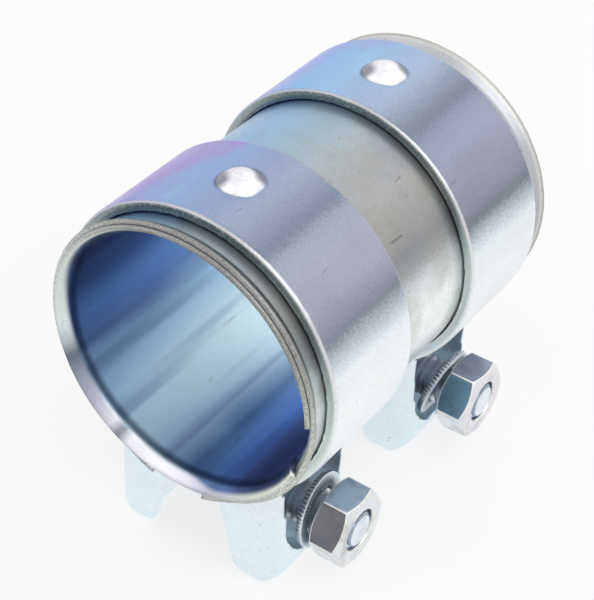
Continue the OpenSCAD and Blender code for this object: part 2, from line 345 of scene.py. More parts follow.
def outer_finish(name):
    """The outer sheet: its film and painted reflections by angle, painted shade that makes it greyer at the front
    mouth and painted light that makes it paler at the rear one.
    """
    material, tree, place, axes, _, turn = start_metal(name)
    film_and_painted_light = tones_by_angle(tree, roughen_turn(tree, place, turn), SHEET_FILM_AND_REFLECTIONS)
    stain = fade(tree, grain(tree, place, 80, 3), 0.42, 0.7)
    film_and_painted_light = blend_tones(tree, times(tree, stain, 0.4), film_and_painted_light, "a39f92")
    cloud = fade(tree, grain(tree, place, 190, 4), 0.5, 0.75)
    film_and_painted_light = blend_tones(tree, times(tree, cloud, 0.22, fade(tree, turn, around(74), around(60))), film_and_painted_light, "7e868c")
    # Painted shade at the front mouth, under the front band.
    mouth = tones_by_angle(tree, turn, FRONT_MOUTH_SHADE)
    film_and_painted_light = blend_tones(tree, fade(tree, axes["Y"], -FLARE_FROM + 2 * MM, -FLARE_FROM), film_and_painted_light, mouth)
    # Paler towards the rear mouth and on its flare: painted light.
    film_and_painted_light = blend_tones(tree, fade(tree, axes["Y"], FLARE_FROM - 2 * MM, FLARE_FROM - MM), film_and_painted_light, "bfc2c6")
    film_and_painted_light = blend_tones(tree, fade(tree, axes["Y"], FLARE_FROM, SLEEVE_HALF - MM), film_and_painted_light, "dddeda")
    finish_metal(tree, place, film_and_painted_light, rough=0.32, pitted=0.5)
    return material


def bore_finish(name):
    """The inner sheet: blue film in the bore with painted reflections and painted shade, and painted reflections
    on the flare inside each mouth.
    """
    material, tree, place, axes, _, turn = start_metal(name)
    film_and_painted_light = tones_by_angle(tree, roughen_turn(tree, place, turn, 0.05, 0.01), BORE_FILM_AND_REFLECTIONS)
    # Streaks along the tube: painted reflections.
    reflected_stripes = grain(tree, place, 130, 2, (1, 0.06, 1))
    film_and_painted_light = blend_tones(tree, fade(tree, reflected_stripes, 0.34, 0.5, 0.5, 0), film_and_painted_light, "6486b4")
    mouth = calc(tree, "ABSOLUTE", axes["Y"])
    # A dark band at the bend before each flare: painted shade.
    bend_shade = times(tree, fade(tree, mouth, BEND_AT - 1.6 * MM, BEND_AT + 0.3 * MM), 0.7)
    film_and_painted_light = blend_tones(tree, bend_shade, film_and_painted_light, "27405e")
    # The flare's painted reflections, starting further out where the flare lies in shade.
    flare_reflections = tones_by_angle(tree, turn, FLARE_REFLECTIONS)
    shaded = times(tree, fade(tree, turn, around(-105), around(-55)),
                   fade(tree, turn, around(160), around(178), 1, 0))
    begins = calc(tree, "ADD", FLARE_FROM + 0.3 * MM, times(tree, shaded, 1.5 * MM))
    along = calc(tree, "SUBTRACT", mouth, begins)
    film_and_painted_light = blend_tones(tree, fade(tree, along, -0.7 * MM, 0.6 * MM), film_and_painted_light, flare_reflections)
    finish_metal(tree, place, film_and_painted_light, mottle=0.04, peel=0.05, pitted=0.25)
    return material


outer_plating = outer_finish("outer_sheet_plating")
bore_plating = bore_finish("bore_plating")
print("bore and outer sheet finished with", len(BORE_FILM_AND_REFLECTIONS), "and", len(SHEET_FILM_AND_REFLECTIONS), "tones")

# %% [markdown]
# The lips are sheared steel: duller, a little brown, and torn at the scale of the metal's grain.
# Their tone by angle also carries painted reflections.

# %% Sheared lips
LIP_TONES_AND_REFLECTIONS = [(-180, "dcdcde"), (-120, "cfd0cf"), (-80, "e4eae6"), (-50, "c8cdc9"), (-20, "a3a5a3"),
             (20, "999b9a"), (60, "a6a8a5"), (90, "d3d9d2"), (120, "e2e8e1"), (160, "cbcccb"), (180, "dcdcde")]


def lip_finish(name):
    """The cut edge of a rolled sheet."""
    material, tree, place, axes, _, turn = start_metal(name)
    # The sheared metal's tone with painted reflections by angle.
    film_and_painted_light = tones_by_angle(tree, turn, LIP_TONES_AND_REFLECTIONS)
    torn = grain(tree, place, 2600, 3, (1, 0.4, 1))
    film_and_painted_light = blend_tones(tree, fade(tree, torn, 0.38, 0.56, 0.5, 0), film_and_painted_light, "6c645e")
    film_and_painted_light = blend_tones(tree, fade(tree, axes["Y"], -MM, MM, 0, 0.85), film_and_painted_light, "dddcd8")
    finish_metal(tree, place, film_and_painted_light, rough=0.38, metal=0.8, pitted=0.4)
    return material


lip_plating = lip_finish("lip_plating")
print("materials:", [m.name for m in bpy.data.materials])

# %% [markdown]
# The sleeve is two sheets rolled from flat strip, each open along one slit and flared at both
# mouths. A sheet's section is a thin closed outline that follows the bore, bends outwards near
# each mouth and ends square. Spinning that outline about the tube's axis, all but the slit's
# angle, gives the sheet, and the two open ends are capped.

# %% Section of a rolled sheet
BEND_STEPS = 6
STRAIGHT_STEPS = 12


def skin(depth):
    """One skin of a sheet from mid-length to the front mouth, as (radius, y)."""
    points = [(BORE_R + depth, -BEND_AT * i / STRAIGHT_STEPS) for i in range(STRAIGHT_STEPS)]
    for i in range(BEND_STEPS + 1):
        a = FLARE_ANGLE * i / BEND_STEPS
        reach = FLARE_BEND - depth
        points.append((BORE_R + FLARE_BEND - reach * math.cos(a), -BEND_AT - reach * math.sin(a)))
    lip = (BORE_R + FLARE_RISE + depth * math.cos(FLARE_ANGLE),
           -SLEEVE_HALF + depth * math.sin(FLARE_ANGLE))
    bend_end = points[-1]
    for share in (0.5, 1):
        points.append((bend_end[0] + (lip[0] - bend_end[0]) * share,
                       bend_end[1] + (lip[1] - bend_end[1]) * share))
    return points


def section(depth):
    """The closed outline of a sheet: near skin, lip, far skin, lip."""
    near, far = skin(depth), skin(depth + SHEET_T)
    back_near = [(r, -y) for r, y in near[:0:-1]]
    back_far = [(r, -y) for r, y in far[1:]]
    return back_near + near + far[::-1] + back_far


print("a sheet's section has", len(section(0)), "points; its mouth flares at",
      round(math.degrees(FLARE_ANGLE)), "degrees")

# %% Roll a sheet
ROLL_STEPS = 200


def rolled_sheet(depth, slit):
    """Spin a sheet's section about Y, leaving its slit open. Angles run from the top towards +X."""
    middle, opening = slit
    start = math.radians(180 - middle + opening / 2)
    mesh = bmesh.new()
    ring = [mesh.verts.new((r * math.sin(start), y, r * math.cos(start))) for r, y in section(depth)]
    edges = [mesh.edges.new((ring[i - 1], ring[i])) for i in range(len(ring))]
    bmesh.ops.spin(mesh, geom=ring + edges, cent=(0, 0, 0), axis=(0, 1, 0),
                   angle=math.radians(360 - opening), steps=ROLL_STEPS, use_duplicate=False)
    caps = [edge for edge in mesh.edges if edge.is_boundary]
    bmesh.ops.edgeloop_fill(mesh, edges=caps)
    bmesh.ops.recalc_face_normals(mesh, faces=mesh.faces[:])
    print("sheet at depth", round(depth / MM, 2), "mm:", count_open(mesh), "open edges")
    return mesh


def is_lip(face):
    """Whether a face of a sheet is the cut edge at one of its mouths."""
    centre = face.calc_center_median()
    outwards = math.hypot(centre.x, centre.z) > BORE_R + FLARE_RISE - 0.2 * MM
    return outwards and abs(face.normal.y) > 0.6 and abs(centre.y) > SLEEVE_HALF - 2.2 * MM


# %% [markdown]
# The inner sheet shows its bore through the mouths. Its lips were sheared from flat strip, so
# their cut faces get the duller, torn finish of a second material.

# %% Inner sheet
inner = rolled_sheet(0, INNER_SLIT)
for face in inner.faces:
    face.smooth = True
    face.material_index = 1 if is_lip(face) else 0
finish_piece(inner, "inner_sleeve", [bore_plating, lip_plating])

# %% [markdown]
# The outer sheet is the same section one step further out. Where its slit reaches the mouth its
# two corners spring away from the inner sheet by a millimetre or two, as rolled sheet does.

# %% Outer sheet
CORNER_SPRING = 1.6 * MM
CORNER_WIDTH = 9
SPRING_REACH = 7 * MM

outer = rolled_sheet(PLY_STEP, OUTER_SLIT)
slit_edge = 180 - OUTER_SLIT[1] / 2
for vert in outer.verts:
    radius, angle = polar(vert)
    near_corner = math.exp(-((slit_edge - abs(angle)) / CORNER_WIDTH) ** 2)
    near_mouth = max(0, 1 - (SLEEVE_HALF - abs(vert.co.y)) / SPRING_REACH) ** 2
    set_radius(vert, radius + CORNER_SPRING * near_corner * near_mouth)
for face in outer.faces:
    face.smooth = True
    face.material_index = 1 if is_lip(face) else 0
finish_piece(outer, "outer_sleeve", [outer_plating, lip_plating])

# %% [markdown]
# The bands' plating varies most. The ring carries the film and painted reflections by angle, and
# violet streaks slant across its upper left. Where the sheet was sheared its cut face is dull, and
# the rounded edge beside it carries a painted highlight. The lugs are painted pale, a painted
# reflection of the bright tent, with painted shade low on the near side of their pockets. The
# dimple's dome has painted reflections: pale below, with a painted dark crescent at each side and
# painted shade in the crease round it.

# %% Band finish
# Each band's film by angle with painted reflections: the dark bands and the near-white lower side are painted
# reflections of the studio.
FRONT_BAND_FILM_AND_REFLECTIONS = [(-180, "e4ecf3"), (-110, "c6cbe8"), (-60, "d6d6ee"), (-46, "b9b2e2"), (-38, "a39ad8"),
               (-30, "8f98d6"), (-22, "93aade"), (-12, "95b2e0"), (0, "9cabce"), (10, "98a5bc"), (18, "8b95a8"),
               (25, "768093"), (30, "9aa0b0"), (38, "a6a9ba"), (48, "adadbd"), (56, "9c9eae"),
               (62, "878c9a"), (68, "c3ccd4"), (75, "f2f8fc"), (90, "fafeff"), (130, "f4faff"), (180, "e4ecf3")]
REAR_BAND_FILM_AND_REFLECTIONS = [(-180, "e4ecf3"), (-110, "c6d0ea"), (-60, "cdd8f4"), (-46, "a3b4ec"), (-38, "93a8ea"),
              (-30, "86b2ec"), (-22, "8fc0ee"), (-12, "9fc6ee"), (0, "a9bfdf"), (10, "9eadc4"), (19, "8590a2"),
              (25, "747e90"), (31, "8e96aa"), (38, "9a9fb5"), (48, "a09fb5"), (58, "9798aa"),
              (65, "7c838f"), (70, "b4bec6"), (77, "edf4f8"), (90, "f8fcff"), (130, "f2f9fd"), (180, "e4ecf3")]
# The sheared faces' own dull tone with painted reflections by angle.
CUT_TONES_AND_REFLECTIONS = [(-180, "dfe8ea"), (-70, "a8b3b4"), (-25, "626f73"), (20, "6f7b7c"), (55, "95a09f"),
             (80, "ccd6d4"), (100, "e2ebea"), (180, "dfe8ea")]
# The painted highlight along the band's rounded edges, by angle.
EDGE_HIGHLIGHTS = [(-180, "f2f6f8"), (-60, "c9cbdc"), (-20, "b5b5bf"), (20, "cfcdd2"), (60, "dad8da"),
              (90, "f4f7f8"), (180, "f2f6f8")]
SLANT = 1.2 / 360 / MM
VIOLET = {"front": 0.65, "rear": 0.4}
DIMPLE_R = 4.9 * MM
DIMPLE_H = span("front_band", Z)[1] - BAND_OUT_R + 0.5 * MM
DIMPLE_SPHERE = (DIMPLE_R ** 2 + DIMPLE_H ** 2) / (2 * DIMPLE_H)
LUG_LOW = span("front_band", Z)[0]
# Near-white on the lugs: a painted reflection of the bright tent.
LUG_REFLECTION = "e9f8ff"
LUGS_START, LUGS_PALE = -34.5 * MM, -38.5 * MM
POCKET_HALF = 12 * MM
POCKET_FLOOR_Z = LUG_LOW + 4.4 * MM
POCKET_ROOF_Z = -35.5 * MM


def paint_lugs(tree, film_and_painted_light, axes, facing, mid_y):
    """Lugs painted pale as a painted reflection, with painted shade low on the near side of their pockets."""
    film_and_painted_light = blend_tones(tree, fade(tree, axes["Z"], LUGS_START, LUGS_PALE), film_and_painted_light, LUG_REFLECTION)
    side = calc(tree, "SIGN", axes["X"])
    out = calc(tree, "ABSOLUTE", axes["X"])
    inward = fade(tree, times(tree, facing["X"], side), -0.5, -0.2)
    off_mid = calc(tree, "ABSOLUTE", calc(tree, "SUBTRACT", axes["Y"], mid_y))
    in_pocket = times(tree, inward, fade(tree, off_mid, POCKET_HALF + 0.6 * MM, POCKET_HALF),
                      fade(tree, axes["Z"], POCKET_FLOOR_Z - 1 * MM, POCKET_FLOOR_Z),
                      fade(tree, axes["Z"], POCKET_ROOF_Z + 2 * MM, POCKET_ROOF_Z))
    # The pocket's walls and floor are painted pale: painted light reflected from the tent.
    floor = fade(tree, times(tree, facing["X"], side), 0.4, 0.8)
    pocket_light_and_shade = blend_tones(tree, floor, "f0faff", "e2f3ff")
    # Painted shadow low on the pocket's near side, beside the washer.
    beside = calc(tree, "SUBTRACT", mid_y, axes["Y"])
    shade = times(tree, fade(tree, beside, 5 * MM, 10 * MM), fade(tree, axes["Z"], BOLT_Z + 7 * MM, BOLT_Z))
    pocket_light_and_shade = blend_tones(tree, times(tree, shade, 0.5), pocket_light_and_shade, "35586b")
    pocket_light_and_shade = blend_tones(tree, fade(tree, out, 10 * MM, 17 * MM), pocket_light_and_shade, LUG_REFLECTION)
    return blend_tones(tree, in_pocket, film_and_painted_light, pocket_light_and_shade)


def paint_cut_sides(tree, film_and_painted_light, place, axes, facing, turn):
    """The ring's two cut faces, with painted reflections by angle, and the painted highlight along the rounded
    edge beside each.
    """
    radius = add(tree, "VectorMath", {0: add(tree, "CombineXYZ", {0: axes["X"], 2: axes["Z"]}).outputs[0]},
                 operation="LENGTH").outputs["Value"]
    on_ring = fade(tree, radius, BAND_OUT_R + 0.7 * MM, BAND_OUT_R + 0.3 * MM)
    sideways = calc(tree, "ABSOLUTE", facing["Y"])
    torn = fade(tree, grain(tree, place, 2200, 3), 0.45, 0.7)
    cut = blend_tones(tree, times(tree, torn, 0.35), tones_by_angle(tree, turn, CUT_TONES_AND_REFLECTIONS), "d5dad8")
    # A painted highlight along the rounded edge beside each cut face.
    film_and_painted_light = blend_tones(tree, times(tree, on_ring, fade(tree, sideways, 0.2, 0.5)), film_and_painted_light,
                       tones_by_angle(tree, turn, EDGE_HIGHLIGHTS))
    return blend_tones(tree, times(tree, on_ring, fade(tree, sideways, 0.72, 0.88)), film_and_painted_light, cut)


def paint_dimple(tree, film_and_painted_light, axes, mid_y):
    """The dome's painted highlights and dark crescents, and painted shade in the crease at its foot."""
    across = times(tree, axes["X"], 1 / DIMPLE_R)
    along = times(tree, calc(tree, "SUBTRACT", axes["Y"], mid_y), 1 / DIMPLE_R)
    out = calc(tree, "SQRT", calc(tree, "ADD", times(tree, across, across), times(tree, along, along)))
    top = fade(tree, axes["Z"], 0, 10 * MM)
    down = calc(tree, "SUBTRACT", across, along)
    aside = calc(tree, "ADD", across, along)
    # Painted reflections on the dome: dark above, pale below, and a painted dark crescent at each side.
    dome_shading = blend_tones(tree, fade(tree, down, -1.1, -0.45), "a3a0b0", "f6f5fb")
    crescent_shade = times(tree, fade(tree, calc(tree, "ABSOLUTE", aside), 0.45, 1.05), fade(tree, down, 0.9, 0.2))
    dome_shading = blend_tones(tree, times(tree, crescent_shade, 0.85), dome_shading, "7d7c8a")
    # Painted shade in the crease round the dome's foot.
    crease_shade = times(tree, top, fade(tree, out, 0.90, 0.99), fade(tree, out, 1.2, 1.03),
                   fade(tree, down, 0.9, -0.2, 0.1, 0.8))
    film_and_painted_light = blend_tones(tree, crease_shade, film_and_painted_light, "66677f")
    return blend_tones(tree, times(tree, top, fade(tree, out, 1.03, 0.95)), film_and_painted_light, dome_shading)


def band_finish(name, side, stops):
    """The plating of one band."""
    material, tree, place, axes, normal, turn = start_metal(name)
    facing = add(tree, "SeparateXYZ", {0: normal}).outputs
    film_and_painted_light = tones_by_angle(tree, roughen_turn(tree, place, turn), stops)
    slant = calc(tree, "SUBTRACT", turn, times(tree, calc(tree, "SUBTRACT", axes["Y"], BAND_Y[side]), SLANT))
    violet = times(tree, fade(tree, grain(tree, place, 85, 3, (1, 0.5, 1)), 0.40, 0.60),
                   fade(tree, slant, around(-52), around(-38)), fade(tree, slant, around(-18), around(-30)))
    film_and_painted_light = blend_tones(tree, times(tree, violet, VIOLET[side]), film_and_painted_light, "ab8dd2")
    sky_blue = times(tree, fade(tree, grain(tree, place, 75, 3, (1, 0.4, 1)), 0.5, 0.66),
                     fade(tree, turn, around(-34), around(-22)), fade(tree, turn, around(2), around(-9)))
    film_and_painted_light = blend_tones(tree, times(tree, sky_blue, 0.65), film_and_painted_light, "a8d4f4")
    film_and_painted_light = paint_lugs(tree, film_and_painted_light, axes, facing, BAND_Y[side])
    film_and_painted_light = paint_cut_sides(tree, film_and_painted_light, place, axes, facing, turn)
    film_and_painted_light = paint_dimple(tree, film_and_painted_light, axes, BAND_Y[side])
    finish_metal(tree, place, film_and_painted_light, pitted=0.35)
    return material


band_plating = {"front": band_finish("front_band_plating", "front", FRONT_BAND_FILM_AND_REFLECTIONS),
                "rear": band_finish("rear_band_plating", "rear", REAR_BAND_FILM_AND_REFLECTIONS)}
print("dimple rises", round(DIMPLE_H / MM, 2), "mm")

# %% [markdown]
# A band is pressed from one strip: a ring with a dimple on top and a pair of deep cups for lugs.
# Pressing leaves no sharp corner anywhere, and that softness is what sets it apart from the CAD.
# The CAD node's copy is remeshed into small even faces and its vertices are averaged with their
# neighbours a few times, which rounds every edge by about half a millimetre. The ring's two
# skins are then set back to their true radius, so that they reflect as cleanly as a cylinder,
# and the dome to its true sphere, so that its crease stays crisp.

# %% Soften a pressed band
VOXEL = 0.48 * MM
SOFTEN_PASSES = 4
SKIN_REACH = 0.4 * MM
LUG_ANGLE = 132


def remeshed_copy(node, voxel):
    """A copy of a CAD node in small even faces."""
    source = bmesh.new()
    source.from_mesh(frame["nodes"][node].data)
    bmesh.ops.remove_doubles(source, verts=source.verts, dist=0.001 * MM)
    print(node, "copy:", count_open(source), "open edges before the remesh")
    data = bpy.data.meshes.new("remesh")
    source.to_mesh(data)
    source.free()
    holder = bpy.data.objects.new("remesh", data)
    bpy.context.scene.collection.objects.link(holder)
    remesh = holder.modifiers.new("remesh", "REMESH")
    remesh.mode = "VOXEL"
    remesh.voxel_size = voxel
    bpy.context.view_layer.update()
    even = holder.evaluated_get(bpy.context.evaluated_depsgraph_get())
    mesh = bmesh.new()
    mesh.from_mesh(even.to_mesh())
    even.to_mesh_clear()
    bpy.data.objects.remove(holder)
    return mesh


def dome_radius(angle, off_mid):
    """How far from the tube's axis the dimple's sphere lies, or 0 beside it."""
    centre = BAND_OUT_R + DIMPLE_H - DIMPLE_SPHERE
    inside = (centre * math.cos(angle)) ** 2 - centre ** 2 - off_mid ** 2 + DIMPLE_SPHERE ** 2
    return centre * math.cos(angle) + math.sqrt(inside) if inside > 0 else 0


def pressed_band(side):
    """Remesh, soften and true up a band."""
    mid_y = BAND_Y[side]
    low, high = span(side + "_band", Y)
    mesh = remeshed_copy(side + "_band", VOXEL)
    for _ in range(SOFTEN_PASSES):
        bmesh.ops.smooth_vert(mesh, verts=mesh.verts, factor=0.5, use_axis_x=True,
                              use_axis_y=True, use_axis_z=True)
    for vert in mesh.verts:
        radius, angle = polar(vert)
        if not low + 1.0 * MM < vert.co.y < high - 1.0 * MM:
            continue
        near_dimple = math.hypot(vert.co.x, vert.co.y - mid_y) < DIMPLE_R + 2 * MM and vert.co.z > 0
        if near_dimple and radius > BAND_OUT_R - SKIN_REACH:
            set_radius(vert, max(BAND_OUT_R, dome_radius(math.radians(angle), vert.co.y - mid_y)))
        elif near_dimple:
            continue
        elif abs(radius - BAND_IN_R) < SKIN_REACH and abs(angle) < 180 - 24:
            set_radius(vert, BAND_IN_R)
        elif abs(radius - BAND_OUT_R) < SKIN_REACH and abs(angle) < LUG_ANGLE:
            set_radius(vert, BAND_OUT_R)
    for face in mesh.faces:
        face.smooth = True
    finish_piece(mesh, side + "_band", [band_plating[side]])


for side in BAND_Y:
    pressed_band(side)

# %% [markdown]
# Fasteners are plated by the barrel. Each flat is tinted by the way it looks, with painted light
# and shade: one is slate, the next is nearly white. The way a face looks is known in the piece's
# own frame and turns with the piece.

# %% Fastener finishes
def light_and_shade_by_facing(tree, normal, base, looks):
    """Blend in a painted tone of light and shade for each way of looking: a direction, how squarely, and the
    colour.
    """
    film_and_painted_light = tone(base)
    for direction, low, high, code in looks:
        squarely = add(tree, "VectorMath", {0: normal, 1: direction}, operation="DOT_PRODUCT").outputs["Value"]
        film_and_painted_light = blend_tones(tree, fade(tree, squarely, low, high), film_and_painted_light, code)
    return film_and_painted_light


def fastener_finish(name, base, looks, cloud="4d5c68", clouds=0.35, rough=0.30):
    """Plating with painted light and shade that differ from face to face, and soft dark clouds."""
    material, tree, place, _, normal, _ = start_metal(name)
    film_and_painted_light = light_and_shade_by_facing(tree, normal, base, looks)
    drift = fade(tree, grain(tree, place, 190, 3), 0.45, 0.7)
    film_and_painted_light = blend_tones(tree, times(tree, drift, clouds), film_and_painted_light, cloud)
    finish_metal(tree, place, film_and_painted_light, rough=rough, mottle=0.06, peel=0.08, pitted=0.6)
    return material


def crest_finish(name, valley, crest):
    """Ribbed steel: painted shade in the valleys and painted highlights on the crests."""
    material, tree, place, _, _, _ = start_metal(name)
    height = add(tree, "Attribute", attribute_name="crest").outputs["Fac"]
    film_and_painted_light = blend_tones(tree, height, valley, crest)
    finish_metal(tree, place, film_and_painted_light, mottle=0.1, pitted=0.4)
    return material


UP, DOWN_NEAR, END, BACK = (0, 0, 1), (0, -0.866, 0.5), (1, 0, 0), (-1, 0, 0)
# Painted light and shade on the nuts: darker on the upper flats and the back, near-white on the end face.
nut_plating = {
    "front": fastener_finish("front_nut_plating", "e6edf2", [
        (UP, 0.86, 0.95, "9fb3c6"), (DOWN_NEAR, 0.86, 0.95, "75757b"), (END, 0.75, 0.95, "edf1f5"),
        (BACK, 0.8, 0.95, "93a2ae")]),
    "rear": fastener_finish("rear_nut_plating", "e8edf3", [
        (UP, 0.86, 0.95, "8a95a6"), (DOWN_NEAR, 0.86, 0.95, "6f90a6"), (END, 0.75, 0.95, "efecf3"),
        (BACK, 0.8, 0.95, "8e9dad")])}
# A painted highlight on the eased edges of the nuts and bolt heads.
edge_highlight_finish = fastener_finish("edge_highlight_finish", "f1efe9", [], clouds=0.12)
# Painted light on the bolts: the end face and the head's back face are pale.
bolt_plating = fastener_finish("bolt_plating", "a3b3c1", [
    (END, 0.75, 0.95, "f0f7fe"), (BACK, 0.8, 0.95, "c9d4de")], clouds=0.15)
head_plating = fastener_finish("head_plating", "c3cdd6", [(BACK, 0.75, 0.95, "dfe6ec")])
# Painted shade in the ribs' valleys and painted highlights on their crests and on the smooth rim.
washer_plating = crest_finish("washer_plating", "44606d", "e4f0f7")
washer_rim = crest_finish("washer_rim", "5a6b78", "eef2fb")
print("fastener finishes ready")

# %% [markdown]
# Fasteners are turned and rolled, so their forms are exact. A hexagon is spun as a round blank,
# and its outer rings are then drawn in to the six flats. The cone at its face follows from how far
# each vertex stands out, so no boolean is needed. A thread is one pitch of its outline swept round
# the bolt while it climbs, which spin does when it's given a displacement. The swept surface is
# then trimmed by planes and drawn in to a cone at the tip.

# %% Bolts
THREAD_STEPS = 40
HEX_R = HEX_AF / 2 / math.cos(math.radians(30))
ROOT_D = THREAD_D - 1.23 * PITCH
FACE_R = 0.95 * HEX_AF / 2
CORNER_EASE = 0.12 * MM
CHAMFER = math.radians(30)
HEX_STEPS = 120
TIP_CONE = 1.2 * MM
NECK = 2 * PITCH


def hex_radius(angle):
    """How far a hexagon's side lies from its axis, with the corners a little rounded."""
    off_flat = (angle + math.pi / 6) % (math.pi / 3) - math.pi / 6
    return min(HEX_AF / 2 / math.cos(off_flat), HEX_R - CORNER_EASE)


def hexagon(height, turn, both_ends, bore_r=0.0, sink_r=0.0):
    """A hexagon that stands on Z, coned at its far end or at both, and bored where a radius is given."""
    outline = [(bore_r, height - sink_r + bore_r), (sink_r, height)] if bore_r else [(0, height)]
    outline += [(FACE_R, height), (HEX_R, height * 0.8), (HEX_R, 0 if not both_ends else height * 0.2)]
    outline += [(FACE_R, 0)] if both_ends else []
    outline += [(sink_r, 0), (bore_r, sink_r - bore_r)] if bore_r else [(0, 0)]
    mesh = bmesh.new()
    chain = [mesh.verts.new((r, 0, z)) for r, z in outline]
    edges = [mesh.edges.new((chain[i], chain[i + 1])) for i in range(len(chain) - 1)]
    edges += [mesh.edges.new((chain[-1], chain[0]))] if bore_r else []
    bmesh.ops.spin(mesh, geom=chain + edges, cent=(0, 0, 0), axis=(0, 0, 1), angle=2 * math.pi,
                   steps=HEX_STEPS, use_merge=True, use_duplicate=False)
    bmesh.ops.remove_doubles(mesh, verts=mesh.verts, dist=0.0005 * MM)
    for vert in mesh.verts:
        radius = math.hypot(vert.co.x, vert.co.y)
        if radius < HEX_R - 0.01 * MM:
            continue
        side_r = hex_radius(math.atan2(vert.co.y, vert.co.x))
        cone = (side_r - FACE_R) * math.tan(CHAMFER)
        vert.co.x *= side_r / radius
        vert.co.y *= side_r / radius
        if vert.co.z > height / 2:
            vert.co.z = height - cone
        elif both_ends:
            vert.co.z = cone
    bmesh.ops.rotate(mesh, cent=(0, 0, 0), verts=mesh.verts, matrix=Matrix.Rotation(turn, 3, "Z"))
    bmesh.ops.recalc_face_normals(mesh, faces=mesh.faces[:])
    return mesh


def ease_edges(mesh, width, angle=28):
    """Round the edges that are sharper than an angle, and give them the second finish."""
    sharp = [e for e in mesh.edges if len(e.link_faces) == 2 and e.calc_face_angle(0) > math.radians(angle)]
    eased = bmesh.ops.bevel(mesh, geom=sharp, offset=width, segments=2, profile=0.5, affect="EDGES",
                            material=-1, clamp_overlap=True)
    for face in eased["faces"]:
        face.material_index = 1


def to_bolt_axis(mesh, x, y, flip=False):
    """Lay a mesh that stands on Z along the bolt's axis, its base at x."""
    bmesh.ops.rotate(mesh, cent=(0, 0, 0), verts=mesh.verts,
                     matrix=Matrix.Rotation(math.radians(-90 if flip else 90), 3, "Y"))
    bmesh.ops.translate(mesh, vec=(x, y, BOLT_Z), verts=mesh.verts)


def thread(length, turns_past=2):
    """A right-hand thread that stands on Z, trimmed to length, with a coned tip and a neck."""
    outline = [(ROOT_D / 2, 0), (ROOT_D / 2, PITCH / 4), (THREAD_D / 2, PITCH * 9 / 16),
               (THREAD_D / 2, PITCH * 11 / 16), (ROOT_D / 2, PITCH)]
    turns = math.ceil(length / PITCH) + turns_past
    mesh = bmesh.new()
    chain = [mesh.verts.new((r, 0, z - PITCH)) for r, z in outline]
    edges = [mesh.edges.new((chain[i], chain[i + 1])) for i in range(len(chain) - 1)]
    bmesh.ops.spin(mesh, geom=chain + edges, cent=(0, 0, 0), axis=(0, 0, 1),
                   dvec=(0, 0, PITCH / THREAD_STEPS), angle=2 * math.pi * turns,
                   steps=THREAD_STEPS * turns, use_duplicate=False)
    bmesh.ops.remove_doubles(mesh, verts=mesh.verts, dist=0.002 * MM)
    for height, up in ((0, -1), (length, 1)):
        everything = mesh.verts[:] + mesh.edges[:] + mesh.faces[:]
        bmesh.ops.bisect_plane(mesh, geom=everything, dist=0.0001 * MM, plane_co=(0, 0, height),
                               plane_no=(0, 0, up), clear_outer=True)
        rim = [e for e in mesh.edges if e.is_boundary and all(abs(v.co.z - height) < 0.001 * MM for v in e.verts)]
        bmesh.ops.edgeloop_fill(mesh, edges=rim)
    for vert in mesh.verts:
        radius = math.hypot(vert.co.x, vert.co.y)
        cone = THREAD_D / 2 - max(0, vert.co.z - (length - TIP_CONE)) * 1.1
        neck = ROOT_D / 2 if vert.co.z < NECK else cone
        limit = min(cone, neck)
        if radius > limit:
            vert.co.x *= limit / radius
            vert.co.y *= limit / radius
    bmesh.ops.recalc_face_normals(mesh, faces=mesh.faces[:])
    return mesh


def bolt(side):
    """A hexagon bolt: its thread and its head in one mesh."""
    y = BAND_Y[side]
    low, high = span(side + "_bolt", X)
    seat = low + HEAD_H
    mesh = thread(high - seat)
    to_bolt_axis(mesh, seat, y)
    for face in mesh.faces:
        face.material_index = 2
    head = hexagon(HEAD_H, 0, False)
    ease_edges(head, 0.15 * MM)
    to_bolt_axis(head, seat, y, flip=True)
    data = bpy.data.meshes.new("head")
    head.to_mesh(data)
    head.free()
    mesh.from_mesh(data)
    for face in mesh.faces:
        face.smooth = False
    smooth_by_angle(finish_piece(mesh, side + "_bolt", [head_plating, edge_highlight_finish, bolt_plating]))


def smooth_by_angle(piece, angle=32):
    """Shade a piece smooth, but keep its edges above an angle sharp."""
    piece.data.shade_smooth()
    piece.data.set_sharp_from_angle(angle=math.radians(angle))


for side in BAND_Y:
    bolt(side)

# %% [markdown]
# A nut is the same hexagon, coned at both ends, with a bore and a countersink. How far it is
# turned is read from the CAD node: the flat that faces most nearly up. Its edges are eased, and
# the faces that the bevel makes get a finish of their own, a painted highlight.

# %% Nuts
NUT_BORE_R = 5.03 * MM
SINK_R = 5.35 * MM


def flat_turn(node):
    """How far a nut is turned about X from lying with a flat side straight up."""
    flats = [p.normal for p in frame["nodes"][node].data.polygons if abs(p.normal.x) < 0.05]
    upmost = max(flats, key=lambda normal: normal.z)
    return math.atan2(upmost.y, upmost.z)


def nut(side):
    """A hexagon nut with a countersunk bore."""
    height = NUT_OUT - NUT_IN
    turn = flat_turn(side + "_nut")
    mesh = hexagon(height, -turn, True, NUT_BORE_R, SINK_R)
    ease_edges(mesh, 0.22 * MM)
    to_bolt_axis(mesh, NUT_IN, BAND_Y[side])
    smooth_by_angle(finish_piece(mesh, side + "_nut", [nut_plating[side], edge_highlight_finish]))
    print(side, "nut turned by", round(math.degrees(turn), 1), "degrees")


for side in BAND_Y:
    nut(side)

# %% [markdown]
# The lock washers are rings with radial ribs rolled into both faces. On the lug's side the ribs
# are deep teeth that run out over the rim. A plain ring is spun with four steps to each rib, and
# the vertices on a crest are pushed out. How high a vertex stands is kept as an attribute, which
# the finish reads. A washer's size and tilt are measured on its CAD node.

# %% Washers
RIBS = 58
RIB_STEPS = 4
WASHER_HOLE_R = 5.85 * MM
RIB_H = {"nut": 0.15 * MM, "lug": 0.25 * MM}
TOOTH_BEVEL = 0.6 * MM


